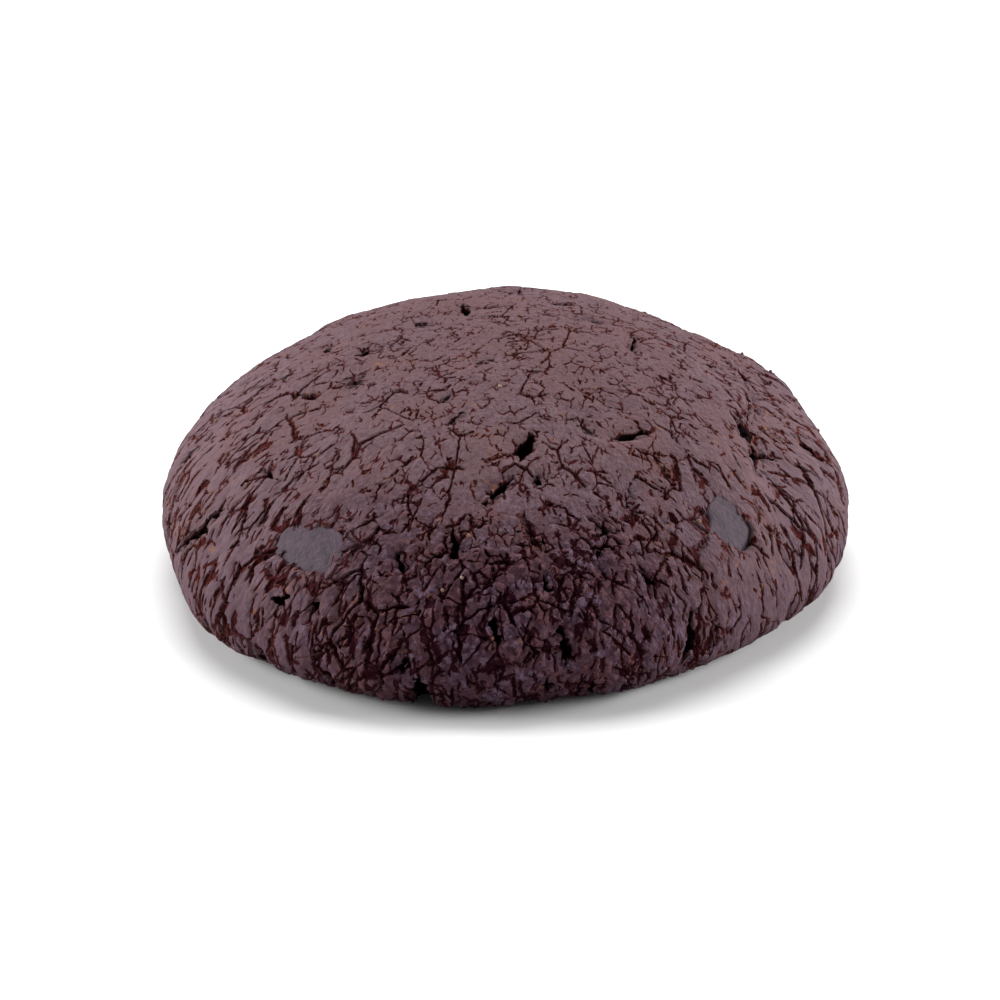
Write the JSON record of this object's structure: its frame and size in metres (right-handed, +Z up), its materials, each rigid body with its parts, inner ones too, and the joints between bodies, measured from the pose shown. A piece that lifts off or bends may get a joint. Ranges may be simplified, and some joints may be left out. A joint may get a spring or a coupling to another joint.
{
  "type": "double chocolate cookie",
  "caption": "Thick dome-shaped soft-baked chocolate cookie with a finely cracked crust, deep fissures, chocolate chunks set flush in it and a flat base.",
  "frame": {"origin": "middle of the cookie's outline, on the surface it rests on", "axes": "+Z up through the crown, -Y towards the side the picture shows, +X to the right as seen in the picture"},
  "size_m": [0.0806, 0.0796, 0.029],
  "materials": {
    "crust": "matte cracked baked crust",
    "chocolate": "satin chocolate with a faint bloom"
  },
  "bodies": {
    "root": {"cookie": "crust", "chocolate_chunk_left": "chocolate", "chocolate_chunk_right": "chocolate", "chocolate_chunk_back_left": "chocolate", "chocolate_chunk_back_top": "chocolate", "chocolate_chunk_back_right": "chocolate"}
  },
  "joints": []
}
